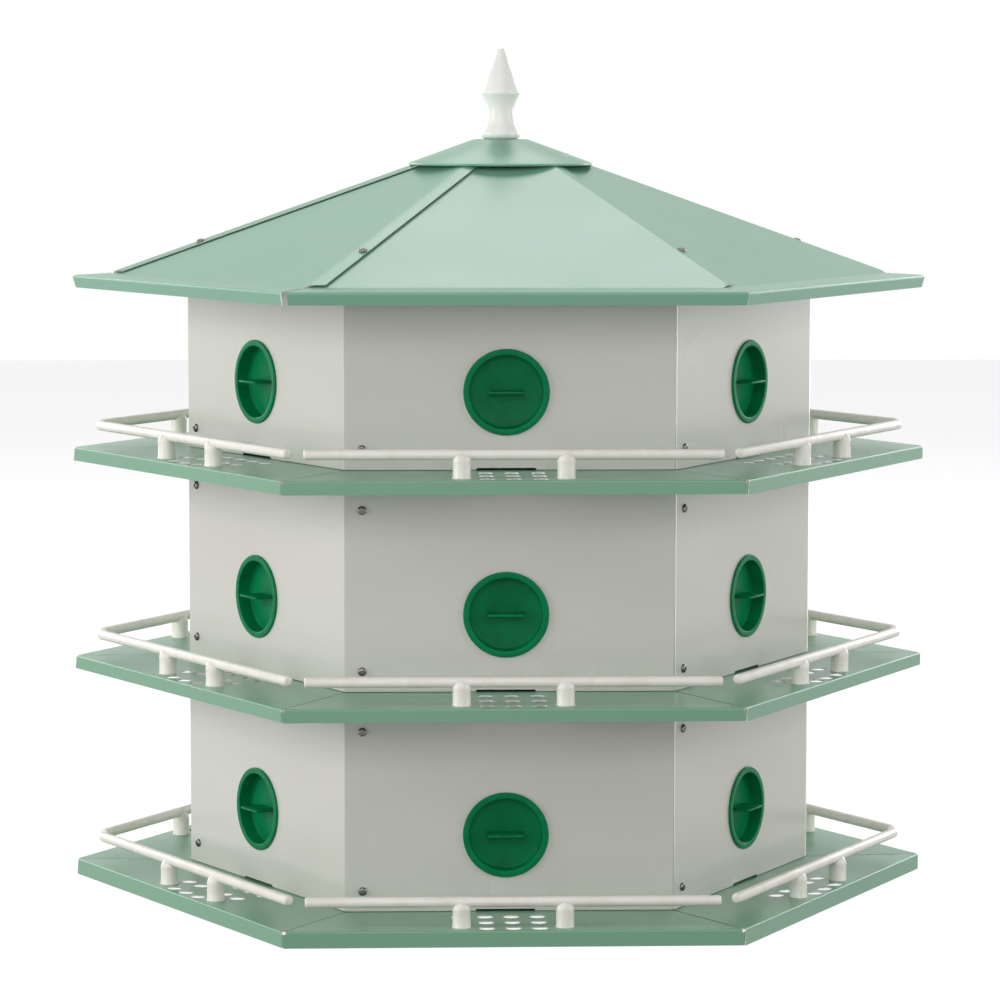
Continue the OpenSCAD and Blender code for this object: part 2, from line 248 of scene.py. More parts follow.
@dataclass(frozen=True)
class BakedEnamel:
    """Baked enamel on rolled aluminium sheet: glossy, with a fine orange peel over slow waves.

    Attributes:
        name: Name of the material.
        colour: Colour of the coat.
        drift: Colour that the coat drifts to in broad clouds.
        roughness: Roughness of the coat.
        peel_depth: Depth of the orange peel in millimetres.
        wave_depth: Depth of the sheet's waves in millimetres.
    """

    name: str
    colour: str
    drift: str
    roughness: float
    peel_depth: float = 0.006
    wave_depth: float = 0.2

    def material(self) -> bpy.types.Material:
        """Builds the enamel.

        Returns:
            The material.
        """
        made = blank_material(self.name)
        tree = made.node_tree
        place = add_node(tree, "ShaderNodeTexCoord").outputs["Object"]
        # Clouds about 220 mm across, as a sprayed coat varies in depth
        clouds = add_node(
            tree,
            "ShaderNodeTexNoise",
            {"Vector": place, "Scale": 1 / (220 * MM), "Detail": 0.0},
        )
        cloud_mix = add_node(
            tree,
            "ShaderNodeMapRange",
            {"Value": clouds.outputs["Fac"], "From Min": 0.2, "From Max": 0.8},
            interpolation_type="SMOOTHSTEP",
        )
        # Pinhead flecks about 0.7 mm across, which keep the coat from looking drawn
        flecks = add_node(
            tree,
            "ShaderNodeTexNoise",
            {"Vector": place, "Scale": 1 / (0.7 * MM), "Detail": 1.0},
        )
        fleck_mix = add_node(
            tree,
            "ShaderNodeMapRange",
            {
                "Value": flecks.outputs["Fac"],
                "From Min": 0.3,
                "From Max": 0.7,
                "To Min": 0.985,
                "To Max": 1.0,
            },
        )
        coat = add_node(
            tree,
            "ShaderNodeMix",
            {0: cloud_mix.outputs["Result"], 6: rgb(self.colour), 7: rgb(self.drift)},
            data_type="RGBA",
        )
        colour = add_node(
            tree,
            "ShaderNodeVectorMath",
            {0: coat.outputs[2], "Scale": fleck_mix.outputs["Result"]},
            operation="SCALE",
        )
        # Handling leaves the gloss a little uneven in patches about 60 mm across
        haze = add_node(
            tree,
            "ShaderNodeTexNoise",
            {"Vector": place, "Scale": 1 / (60 * MM), "Detail": 1.0, "Roughness": 0.4},
        )
        roughness = add_node(
            tree,
            "ShaderNodeMapRange",
            {
                "Value": haze.outputs["Fac"],
                "From Min": 0.2,
                "From Max": 0.8,
                "To Min": self.roughness * 0.93,
                "To Max": self.roughness * 1.08,
            },
        )
        # The sheet's own waves are about 90 mm long, and the orange peel about 1.8 mm
        waves = add_node(
            tree,
            "ShaderNodeTexNoise",
            {"Vector": place, "Scale": 1 / (90 * MM), "Detail": 1.0, "Roughness": 0.3},
        )
        wave_bump = add_node(
            tree,
            "ShaderNodeBump",
            {"Height": waves.outputs["Fac"], "Strength": 1.0, "Distance": self.wave_depth * MM},
        )
        peel = add_node(
            tree,
            "ShaderNodeTexNoise",
            {"Vector": place, "Scale": 1 / (1.8 * MM), "Detail": 2.0},
        )
        peel_bump = add_node(
            tree,
            "ShaderNodeBump",
            {
                "Height": peel.outputs["Fac"],
                "Normal": wave_bump.outputs["Normal"],
                "Strength": 1.0,
                "Distance": self.peel_depth * MM,
            },
        )
        shader = add_node(
            tree,
            "ShaderNodeBsdfPrincipled",
            {
                "Base Color": colour.outputs["Vector"],
                "Roughness": roughness.outputs["Result"],
                "IOR": 1.5,
                "Normal": peel_bump.outputs["Normal"],
            },
        )
        add_node(tree, "ShaderNodeOutputMaterial", {"Surface": shader.outputs["BSDF"]})
        return made


@dataclass(frozen=True)
class ShearedEdge:
    """Bare aluminium where the sheet was sheared: bright, with fine shear lines across the edge."""

    name: str
    colour: str
    roughness: float

    def material(self) -> bpy.types.Material:
        """Builds the bare edge.

        Returns:
            The material.
        """
        made = blank_material(self.name)
        tree = made.node_tree
        place = add_node(tree, "ShaderNodeTexCoord").outputs["Object"]
        # Shear lines about 0.25 mm apart
        lines = add_node(
            tree,
            "ShaderNodeTexNoise",
            {"Vector": place, "Scale": 1 / (0.25 * MM), "Detail": 2.0},
        )
        tone = add_node(
            tree,
            "ShaderNodeMapRange",
            {
                "Value": lines.outputs["Fac"],
                "From Min": 0.25,
                "From Max": 0.75,
                "To Min": 0.86,
                "To Max": 1.0,
            },
        )
        colour = add_node(
            tree,
            "ShaderNodeVectorMath",
            {0: rgb(self.colour)[:3], "Scale": tone.outputs["Result"]},
            operation="SCALE",
        )
        bump = add_node(
            tree,
            "ShaderNodeBump",
            {"Height": lines.outputs["Fac"], "Strength": 0.5, "Distance": 0.02 * MM},
        )
        shader = add_node(
            tree,
            "ShaderNodeBsdfPrincipled",
            {
                "Base Color": colour.outputs["Vector"],
                "Metallic": 1.0,
                "Roughness": self.roughness,
                "Normal": bump.outputs["Normal"],
            },
        )
        add_node(tree, "ShaderNodeOutputMaterial", {"Surface": shader.outputs["BSDF"]})
        return made


@dataclass(frozen=True)
class MouldedPlastic:
    """Injection-moulded plastic: even colour, a skin of fine mould grain and slow flow marks.

    Attributes:
        name: Name of the material.
        colour: Colour of the plastic.
        flow: Colour that the flow marks drift to.
        roughness: Roughness of the skin.
        glow: Share of light that scatters below the skin.
        gloss: Strength of the skin's reflection, where a half is plain plastic.
        grain_depth: Depth of the mould grain in millimetres.
    """

    name: str
    colour: str
    flow: str
    roughness: float
    glow: float
    gloss: float = 0.5
    grain_depth: float = 0.01

    def material(self) -> bpy.types.Material:
        """Builds the plastic.

        Returns:
            The material.
        """
        made = blank_material(self.name)
        tree = made.node_tree
        place = add_node(tree, "ShaderNodeTexCoord").outputs["Object"]
        # Flow marks about 14 mm long
        flow = add_node(
            tree,
            "ShaderNodeTexNoise",
            {"Vector": place, "Scale": 1 / (14 * MM), "Detail": 2.0, "Distortion": 0.6},
        )
        flow_mix = add_node(
            tree,
            "ShaderNodeMapRange",
            {"Value": flow.outputs["Fac"], "From Min": 0.35, "From Max": 0.7},
            interpolation_type="SMOOTHSTEP",
        )
        colour = add_node(
            tree,
            "ShaderNodeMix",
            {0: flow_mix.outputs["Result"], 6: rgb(self.colour), 7: rgb(self.flow)},
            data_type="RGBA",
        )
        roughness = add_node(
            tree,
            "ShaderNodeMapRange",
            {
                "Value": flow.outputs["Fac"],
                "From Min": 0.3,
                "From Max": 0.7,
                "To Min": self.roughness * 0.9,
                "To Max": self.roughness * 1.15,
            },
        )
        # Mould grain about 0.5 mm across
        grain = add_node(
            tree,
            "ShaderNodeTexNoise",
            {"Vector": place, "Scale": 1 / (0.5 * MM), "Detail": 2.0},
        )
        bump = add_node(
            tree,
            "ShaderNodeBump",
            {"Height": grain.outputs["Fac"], "Strength": 1.0, "Distance": self.grain_depth * MM},
        )
        shader = add_node(
            tree,
            "ShaderNodeBsdfPrincipled",
            {
                "Base Color": colour.outputs[2],
                "Roughness": roughness.outputs["Result"],
                "IOR": 1.49,
                "Specular IOR Level": self.gloss,
                "Subsurface Weight": self.glow,
                "Subsurface Radius": (1.0, 0.9, 0.8),
                "Subsurface Scale": 1.5 * MM,
                "Normal": bump.outputs["Normal"],
            },
        )
        add_node(tree, "ShaderNodeOutputMaterial", {"Surface": shader.outputs["BSDF"]})
        return made


@dataclass(frozen=True)
class PlatedSteel:
    """Zinc on a rolled steel screw: grey metal kept dark as a painted dark reflection, clouded darker still
    in patches.
    """

    name: str
    colour: str
    dark_reflection_tone: str
    roughness: float

    def material(self) -> bpy.types.Material:
        """Builds the plating.

        Returns:
            The material.
        """
        made = blank_material(self.name)
        tree = made.node_tree
        place = add_node(tree, "ShaderNodeTexCoord").outputs["Object"]
        # Clouds about 1.2 mm across, which mix the grey towards a painted dark reflection
        clouds = add_node(
            tree,
            "ShaderNodeTexNoise",
            {"Vector": place, "Scale": 1 / (1.2 * MM), "Detail": 3.0},
        )
        colour = add_node(
            tree,
            "ShaderNodeMix",
            {0: clouds.outputs["Fac"], 6: rgb(self.colour), 7: rgb(self.dark_reflection_tone)},
            data_type="RGBA",
        )
        roughness = add_node(
            tree,
            "ShaderNodeMapRange",
            {
                "Value": clouds.outputs["Fac"],
                "From Min": 0.3,
                "From Max": 0.7,
                "To Min": self.roughness * 0.7,
                "To Max": self.roughness * 1.4,
            },
        )
        bump = add_node(
            tree,
            "ShaderNodeBump",
            {"Height": clouds.outputs["Fac"], "Strength": 0.6, "Distance": 0.02 * MM},
        )
        shader = add_node(
            tree,
            "ShaderNodeBsdfPrincipled",
            {
                "Base Color": colour.outputs[2],
                "Metallic": 1.0,
                "Roughness": roughness.outputs["Result"],
                "Normal": bump.outputs["Normal"],
            },
        )
        add_node(tree, "ShaderNodeOutputMaterial", {"Surface": shader.outputs["BSDF"]})
        return made


@dataclass(frozen=True)
class ExtrudedAluminium:
    """Mill-finish aluminium tube: soft grey metal with drawing lines along it."""

    name: str
    colour: str
    roughness: float

    def material(self) -> bpy.types.Material:
        """Builds the mill finish.

        Returns:
            The material.
        """
        made = blank_material(self.name)
        tree = made.node_tree
        place = add_node(tree, "ShaderNodeTexCoord").outputs["Object"]
        # Drawing lines about 0.6 mm apart that run up the tube for 80 mm at a time
        along = add_node(
            tree,
            "ShaderNodeMapping",
            {"Vector": place, "Scale": (1 / (0.6 * MM), 1 / (0.6 * MM), 1 / (80 * MM))},
        )
        lines = add_node(
            tree,
            "ShaderNodeTexNoise",
            {"Vector": along.outputs["Vector"], "Scale": 1.0, "Detail": 2.0},
        )
        roughness = add_node(
            tree,
            "ShaderNodeMapRange",
            {
                "Value": lines.outputs["Fac"],
                "From Min": 0.3,
                "From Max": 0.7,
                "To Min": self.roughness * 0.8,
                "To Max": self.roughness * 1.25,
            },
        )
        bump = add_node(
            tree,
            "ShaderNodeBump",
            {"Height": lines.outputs["Fac"], "Strength": 0.7, "Distance": 0.015 * MM},
        )
        shader = add_node(
            tree,
            "ShaderNodeBsdfPrincipled",
            {
                "Base Color": rgb(self.colour),
                "Metallic": 1.0,
                "Roughness": roughness.outputs["Result"],
                "Normal": bump.outputs["Normal"],
            },
        )
        add_node(tree, "ShaderNodeOutputMaterial", {"Surface": shader.outputs["BSDF"]})
        return made


@dataclass(frozen=True)
class Finishes:
    """The house's materials, one for each finish.

    Attributes:
        wall: Off-white enamel of the walls.
        tray: Sea-green enamel of the trays.
        roof: Sea-green enamel of the roof, the trays' paint made a touch paler as painted sheen.
        edge: Bare sheared edge of the sheet.
        rail: Off-white plastic of the railings.
        plug: Dark green plastic of the entrance plugs.
        finial: White plastic of the finial.
        screw: Plated steel of the screws, coloured dark as painted reflection.
        sleeve: Mill aluminium of the pole sleeve.
    """

    wall: bpy.types.Material
    tray: bpy.types.Material
    roof: bpy.types.Material
    edge: bpy.types.Material
    rail: bpy.types.Material
    plug: bpy.types.Material
    finial: bpy.types.Material
    screw: bpy.types.Material
    sleeve: bpy.types.Material

    @classmethod
    def mix(cls) -> "Finishes":
        """Builds every material.

        Returns:
            The set of materials.
        """
        return cls(
            wall=BakedEnamel("baked_enamel_off_white", "#DDDAD4", "#D6D3CB", 0.26).material(),
            tray=BakedEnamel("baked_enamel_sea_green", "#79A98B", "#74A487", 0.30).material(),
            # The roof has the trays' paint, coloured a touch paler to paint in part of the slopes' sheen
            roof=BakedEnamel("baked_enamel_green_painted_sheen", "#7BAE93", "#76AA8E", 0.34).material(),
            edge=ShearedEdge("sheared_aluminium_edge", "#C9CBC8", 0.38).material(),
            rail=MouldedPlastic("moulded_plastic_off_white", "#F3F0E8", "#EDE9DF", 0.36, 0.15).material(),
            plug=MouldedPlastic(
                "moulded_plastic_dark_green", "#007F4E", "#007647", 0.34, 0.0, 0.1
            ).material(),
            finial=MouldedPlastic("moulded_plastic_white", "#FBFAF6", "#F7F6F0", 0.3, 0.2).material(),
            # The screws' zinc is coloured dark to paint in the dark reflection that the heads show
            screw=PlatedSteel("zinc_plated_steel", "#8A8882", "#4E4C48", 0.28).material(),
            sleeve=ExtrudedAluminium("extruded_aluminium", "#B9BCBE", 0.4).material(),
        )


# ---------------------------------------------------------------------------
# Sheet work and turning
# ---------------------------------------------------------------------------


def everywhere(point: Vector) -> bool:
    """Lets a fold take the whole of a blank."""
    return True


@dataclass(frozen=True)
class Fold:
    """One bend along a straight line of a flat blank.

    Attributes:
        at: Point of the line where the bend starts.
        across: Direction over the line, towards the part that turns.
        angle: Degrees of bend, positive away from the painted face.
        radius: Radius of the painted face round the bend.
        within: Test for the part of the blank that the bend may take.
        steps: Number of flats that the bend is made of.
    """

    at: Point
    across: Point
    angle: float
    radius: float
    within: Callable[[Vector], bool] = everywhere
    steps: int = 4

    @property
    def normal(self) -> Vector:
        """Direction over the line, of length one."""
        return Vector((self.across[0], self.across[1], 0.0)).normalized()

    @property
    def flat(self) -> float:
        """Width of one flat of the bend."""
        share = abs(math.radians(self.angle)) / self.steps
        return 2 * self.radius * math.sin(share / 2)

    def line(self, index: int) -> Vector:
        """Point of one of the bend's lines.

        Args:
            index: Number of the line, from the bend's start.

        Returns:
            The point, on the flat blank.
        """
        return Vector((self.at[0], self.at[1], 0.0)) + index * self.flat * self.normal


class SheetBlank:
    """A flat blank of sheet, painted face up, that is punched, folded and set in place."""

    def __init__(self, outline: Sequence[Point]) -> None:
        """Draws the blank's outline.

        Args:
            outline: Corners of the blank, anticlockwise from above.
        """
        self.bm = bmesh.new()
        corners = [self.bm.verts.new((x, y, 0.0)) for x, y in outline]
        for here, there in zip(corners, corners[1:] + corners[:1]):
            self.bm.edges.new((here, there))

    def punch(self, x: float, y: float, diameter: float, segments: int) -> None:
        """Punches a round hole.

        Args:
            x: Place across the blank.
            y: Place along the blank.
            diameter: Diameter of the hole.
            segments: Number of flats round the hole.
        """
        bmesh.ops.create_circle(
            self.bm,
            cap_ends=False,
            segments=segments,
            radius=diameter / 2,
            matrix=Matrix.Translation((x, y, 0.0)),
        )

    def fill(self) -> None:
        """Fills the outline with sheet and leaves the holes open."""
        bmesh.ops.triangle_fill(
            self.bm, use_beauty=True, use_dissolve=False, edges=self.bm.edges[:], normal=(0, 0, 1)
        )
        self.bm.normal_update()
        for face in self.bm.faces:
            if face.normal.z < 0:
                face.normal_flip()

    def bend(self, folds: Sequence[Fold]) -> None:
        """Makes every fold.

        Args:
            folds: The folds, where one that lies further out on a flap follows the one it hangs on.
        """
        for fold in folds:
            for index in range(fold.steps + 1):
                self._mark(fold, fold.line(index))
        flat = {vert: vert.co.copy() for vert in self.bm.verts}
        for fold in reversed(folds):
            for index in range(fold.steps, -1, -1):
                self._turn(fold, index, flat)

    def _mark(self, fold: Fold, point: Vector) -> None:
        """Cuts the blank's faces along one line of a bend.

        Args:
            fold: The bend.
            point: Point of the line.
        """
        faces = [f for f in self.bm.faces if all(fold.within(v.co) for v in f.verts)]
        edges = {e for f in faces for e in f.edges}
        verts = {v for f in faces for v in f.verts}
        bmesh.ops.bisect_plane(
            self.bm,
            geom=[*verts, *edges, *faces],
            dist=1e-4,
            plane_co=point,
            plane_no=fold.normal,
        )

    def _turn(self, fold: Fold, index: int, flat: Mapping[bmesh.types.BMVert, Vector]) -> None:
        """Turns what lies past one line of a bend.

        Args:
            fold: The bend.
            index: Number of the line, from the bend's start.
            flat: Place of each vertex on the flat blank.
        """
        point = fold.line(index)
        share = math.radians(fold.angle) / fold.steps
        if index in (0, fold.steps):
            share /= 2
        moved = [
            vert
            for vert, place in flat.items()
            if (place - point).dot(fold.normal) > 1e-3 and fold.within(place)
        ]
        axis = Vector((0, 0, 1)).cross(fold.normal)
        bmesh.ops.rotate(self.bm, cent=point, matrix=Matrix.Rotation(share, 3, axis), verts=moved)

    def place(self, where: Matrix) -> None:
        """Sets the folded sheet in its place.

        Args:
            where: Turn and shift from the blank to the house.
        """
        bmesh.ops.transform(self.bm, matrix=where, verts=self.bm.verts)


def join(parts: Sequence[bmesh.types.BMesh]) -> bmesh.types.BMesh:
    """Joins meshes that don't touch into one.

    Args:
        parts: The meshes, which are used up.

    Returns:
        One mesh that holds them all.
    """
    whole = bmesh.new()
    for part in parts:
        carrier = bpy.data.meshes.new("carrier")
        part.to_mesh(carrier)
        part.free()
        whole.from_mesh(carrier)
        bpy.data.meshes.remove(carrier)
    return whole


def arc(centre: Point, radius: float, start: float, end: float, steps: int) -> list[Point]:
    """Points of an arc in a half section.

    Args:
        centre: Centre of the arc, as distance from the axis and height.
        radius: Radius of the arc.
        start: Angle of the first point in degrees, from straight out.
        end: Angle of the last point in degrees.
        steps: Number of flats.

    Returns:
        The points, one more than the flats.
    """
    angles = [math.radians(start + (end - start) * i / steps) for i in range(steps + 1)]
    return [(centre[0] + radius * math.cos(a), centre[1] + radius * math.sin(a)) for a in angles]


def turned(section: Sequence[Point], steps: int, closed: bool = False) -> bmesh.types.BMesh:
    """Spins a half section round the upright axis.

    Args:
        section: Points as distance from the axis and height.
        steps: Number of flats round the axis.
        closed: Whether the last point joins the first, as in a ring.

    Returns:
        The turned mesh, facing outwards.
    """
    bm = bmesh.new()
    verts = [bm.verts.new((r, 0.0, z)) for r, z in section]
    pairs = list(zip(verts, verts[1:]))
    if closed:
        pairs.append((verts[-1], verts[0]))
    edges = [bm.edges.new(pair) for pair in pairs]
    bmesh.ops.spin(
        bm,
        geom=verts + edges,
        cent=(0, 0, 0),
        axis=(0, 0, 1),
        dvec=(0, 0, 0),
        angle=math.tau,
        steps=steps,
        use_merge=True,
        use_duplicate=False,
    )
    bmesh.ops.remove_doubles(bm, verts=bm.verts, dist=1e-4)
    bmesh.ops.recalc_face_normals(bm, faces=bm.faces)
    return bm


def make_piece(
    name: str,
    bm: bmesh.types.BMesh,
    materials: Sequence[bpy.types.Material],
    nodes: Sequence[str] = (),
) -> bpy.types.Object:
    """Turns a mesh in millimetres into a piece of the house in metres.

    Args:
        name: Name of the piece.
        bm: Its mesh, which is used up.
        materials: Its materials, in the order of its material numbers.
        nodes: Frame nodes that it stands for.

    Returns:
        The piece, riding on the house.
    """
    bmesh.ops.scale(bm, vec=(MM, MM, MM), verts=bm.verts)
    mesh = bpy.data.meshes.new(name)
    bm.to_mesh(mesh)
    bm.free()
    for material in materials:
        mesh.materials.append(material)
    mesh.shade_smooth()
    piece = bpy.data.objects.new(name, mesh)
    bpy.context.scene.collection.objects.link(piece)
    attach(piece, "root")
    if nodes:
        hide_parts(*nodes)
    LOG.info("%s: %d faces", name, len(mesh.polygons))
    return piece


def thicken(piece: bpy.types.Object, sheet: float) -> None:
    """Gives a painted skin the sheet's thickness, bare cut edges and the least rounding.

    Args:
        piece: Piece whose mesh is the painted face.
        sheet: Thickness of the sheet in millimetres.
    """
    solid = piece.modifiers.new("sheet", "SOLIDIFY")
    solid.thickness = sheet * MM
    solid.offset = -1.0
    solid.use_even_offset = True
    solid.material_offset_rim = 1
    burr = piece.modifiers.new("deburred", "BEVEL")
    burr.width = 0.1 * MM
    burr.segments = 2
    burr.limit_method = "ANGLE"
    burr.angle_limit = math.radians(50)
    level = piece.modifiers.new("level", "WEIGHTED_NORMAL")
    level.keep_sharp = True


def sharpen(piece: bpy.types.Object, degrees: float) -> None:
    """Keeps a piece's edges crisp above an angle.

    Args:
        piece: The piece.
        degrees: Least angle of a crisp edge.
    """
    piece.data.set_sharp_from_angle(angle=math.radians(degrees))


# ---------------------------------------------------------------------------
# Sub-assemblies
# ---------------------------------------------------------------------------


@dataclass
class WallPanel:
    """One wall of one room: an entrance, a foot slot, and a right edge that tucks behind the next wall.

    Attributes:
        plan: Plan of the house.
        tier: Tier of the wall.
        side: Side of the wall.
        tuck: Width of the tucked edge.
        bend_r: Radius of the corner bend.
        foot_gap: Gap between the wall's foot and the floor.
        entrance_d: Diameter of the entrance.
        entrance_up: Height of the entrance's centre above the floor.
        slot_w: Width of the foot slot.
        slot_h: Height of the foot slot.
        screw_in: Distance of the screws from the left edge.
        screw_up: Height of the lower screw above the floor.
        screw_down: Distance of the upper screw below the next floor.
        screw_hole: Diameter of a screw hole.
    """

    plan: HousePlan
    tier: Tier
    side: Side
    tuck: float = 22.0
    bend_r: float = 1.4
    foot_gap: float = 0.35
    entrance_d: float = 54.0
    entrance_up: float = 53.8
    slot_w: float = 41.0
    slot_h: float = 1.6
    screw_in: float = 12.0
    screw_up: float = 14.5
    screw_down: float = 27.5
    screw_hole: float = 3.4

    @property
    def screw_levels(self) -> tuple[float, float]:
        """Heights of the two screws in the house."""
        floor = self.plan.floors[self.tier.value]
        return (floor + self.screw_up, floor + self.plan.tier_h - self.screw_down)

    def build(self, finishes: Finishes) -> bpy.types.Object:
        """Builds the wall.

        Args:
            finishes: The house's materials.

        Returns:
            The wall's piece.
        """
        plan = self.plan
        floor = plan.floors[self.tier.value]
        foot = floor + self.foot_gap
        head = plan.wall_tops[self.tier.value]
        slot_top = floor + self.slot_h
        left = plan.lap - plan.wall_w / 2
        corner = plan.wall_w / 2 - (plan.sheet + plan.lap) / COS30
        tangent = self.bend_r * TAN30
        bend_at = corner - tangent
        right = bend_at + self.bend_r * math.pi / 3 + self.tuck - tangent
        middle = plan.shifts[self.side.value]
        blank = SheetBlank(
            [
                (left, foot),
                (middle - self.slot_w / 2, foot),
                (middle - self.slot_w / 2, slot_top),
                (middle + self.slot_w / 2, slot_top),
                (middle + self.slot_w / 2, foot),
                (right, foot),
                (right, head),
                (left, head),
            ]
        )
        blank.punch(middle, floor + self.entrance_up, self.entrance_d, 72)
        for level in self.screw_levels:
            blank.punch(left + self.screw_in, level, self.screw_hole, 14)
        blank.fill()
        blank.bend([Fold((bend_at, 0.0), (1.0, 0.0), 60.0, self.bend_r)])
        stand = Matrix.Translation((0.0, -plan.wall_ap, 0.0)) @ UPRIGHT
        blank.place(self.side.turn @ stand)
        node = f"{self.tier.label}_{self.side.label}_wall"
        piece = make_piece(f"{node}_panel", blank.bm, [finishes.wall, finishes.edge], [node])
        thicken(piece, plan.sheet)
        return piece


@dataclass
class TraySet:
    """Three trays of one tier: room floor and porch in one sheet, with its edge turned down.

    Attributes:
        plan: Plan of the house.
        tier: Tier of the trays.
        first: Number of the first side; the others follow two by two.
        edge_r: Radius of the turned-down edge.
        corner_r: Radius of the tab's corner bend.
        skirt: Depth of the turned-down edge.
        tab: Width of the tab behind the next turned-down edge.
        lap_w: Width of the flange under the next tray.
        flange_short: How far before the porch edge the flange ends.
        flange_start: Distance of the flange's inner end from the tray's inner corner.
        joggle: Step down to the flange.
        joggle_angle: Angle of the step's bends in degrees.
        seam_in: Gap of the seam at the wall.
        seam_out: Gap of the seam at the porch corner.
        seam_short: How far short of the right seam's line the floor ends and its flange starts.
        tab_clear: Room at the corner for the next tray's sheet.
        tab_drop: Distance of the tab's top below the bend.
        corner_top: Gap of the turned-down edge at the corner, at its top.
        corner_foot: The same gap at its foot.
        hole_r: Radius that the trays leave round the sleeve.
        vent_d: Diameter of a vent hole.
        vent_across: Distance between vent holes across the porch.
        vent_out: Distance between rows of vent holes.
        vent_first: Distance of the first row from the wall.
    """

    plan: HousePlan
    tier: Tier
    first: int
    edge_r: float = 1.1
    corner_r: float = 1.4
    skirt: float = 10.0
    tab: float = 9.0
    lap_w: float = 11.0
    flange_short: float = 9.0
    flange_start: float = 8.0
    joggle: float = 0.95
    joggle_angle: float = 50.0
    seam_in: float = 0.3
    seam_out: float = 1.1
    seam_short: float = 0.9
    tab_clear: float = 1.1
    tab_drop: float = 1.2
    corner_top: float = 2.4
    corner_foot: float = 0.7
    hole_r: float = 28.6
    vent_d: float = 11.2
    vent_across: float = 18.0
    vent_out: float = 21.5
    vent_first: float = 21.0

    def tray(self, side: Side) -> bmesh.types.BMesh:
        """Folds one tray.

        Args:
            side: Side of the tray.

        Returns:
            The tray's painted face, in its place.
        """
        reach = self.plan.porch_ap
        half = reach * TAN30
        bend_y = self.edge_r - reach
        skirt_y = bend_y - self.edge_r * math.pi / 2
        rise = self.plan.rises[self.tier.value]
        end_y = skirt_y - (self.skirt + rise - self.edge_r)
        # The seams run along u, and n leads over the right one
        u = Vector((SIN30, -COS30))
        n = Vector((COS30, SIN30))
        mirror_u = Vector((-SIN30, -COS30))
        inward = Vector((COS30, -SIN30))
        seam_right = -self.seam_short
        flange_out = (reach - self.flange_short) / COS30
        flange_in = self.hole_r / COS30 + self.flange_start
        floor_right = (seam_right - SIN30 * bend_y) / COS30
        tab_at = half - self.tab_clear - self.corner_r * TAN30
        tab_end = tab_at + self.corner_r * math.pi / 3 + self.tab
        tab_top = skirt_y - self.tab_drop
        outline = [
            mirror_u * (self.hole_r / COS30) + inward * self.seam_in,
            Vector((bend_y * TAN30 + self.seam_out / COS30, bend_y)),
            Vector((self.corner_top - half, bend_y - 0.05)),
            Vector((self.corner_foot - half, end_y)),
            Vector((tab_end, end_y + 0.4)),
            Vector((tab_end, tab_top)),
            Vector((floor_right, tab_top)),
            Vector((floor_right, bend_y)),
            u * flange_out + n * seam_right,
            u * flange_out + n * self.lap_w,
            u * flange_in + n * self.lap_w,
            u * flange_in + n * seam_right,
            u * (self.hole_r / COS30) + n * seam_right,
        ]
        blank = SheetBlank([(point.x, point.y) for point in outline])
        for row, columns in enumerate((2, 2, 1)):
            y = -self.plan.wall_ap - self.vent_first - row * self.vent_out
            for column in range(-columns, columns + 1):
                blank.punch(column * self.vent_across, y, self.vent_d, 32)
        blank.fill()
        step = self.joggle_angle
        run = self.joggle / math.sin(math.radians(step))
        seam = n * (seam_right + 0.02)
        step_at = n * (seam_right + 0.02 + run)

        def on_skirt(point: Vector) -> bool:
            """Keeps a fold to the turned-down edge."""
            return point.y < skirt_y + 0.1

        def on_floor(point: Vector) -> bool:
            """Keeps a fold to the flat floor."""
            return point.y > bend_y - 0.01

        wall_y = -self.plan.wall_ap - 2.0
        slope = math.degrees(math.atan(-rise / (reach + wall_y)))
        blank.bend(
            [
                Fold((0.0, wall_y), (0.0, -1.0), slope, 80.0, steps=1),
                Fold((0.0, bend_y), (0.0, -1.0), 90.0 - slope, self.edge_r),
                Fold((tab_at, 0.0), (1.0, 0.0), 60.0, self.corner_r, on_skirt),
                Fold((seam.x, seam.y), (n.x, n.y), step, 0.5, on_floor, 2),
                Fold((step_at.x, step_at.y), (n.x, n.y), -step, 0.5, on_floor, 2),
            ]
        )
        floor = self.plan.floors[self.tier.value]
        blank.place(side.turn @ Matrix.Translation((0.0, 0.0, floor)))
        return blank.bm

    def build(self, finishes: Finishes) -> bpy.types.Object:
        """Builds the three trays as one piece.

        Args:
            finishes: The house's materials.

        Returns:
            The trays' piece.
        """
        node = f"{self.tier.label}_trays_{'ab'[self.first]}"
        whole = join([self.tray(side) for side in list(Side)[self.first :: 2]])
        piece = make_piece(f"{node}_sheets", whole, [finishes.tray, finishes.edge], [node])
        thicken(piece, self.plan.sheet)
        return piece


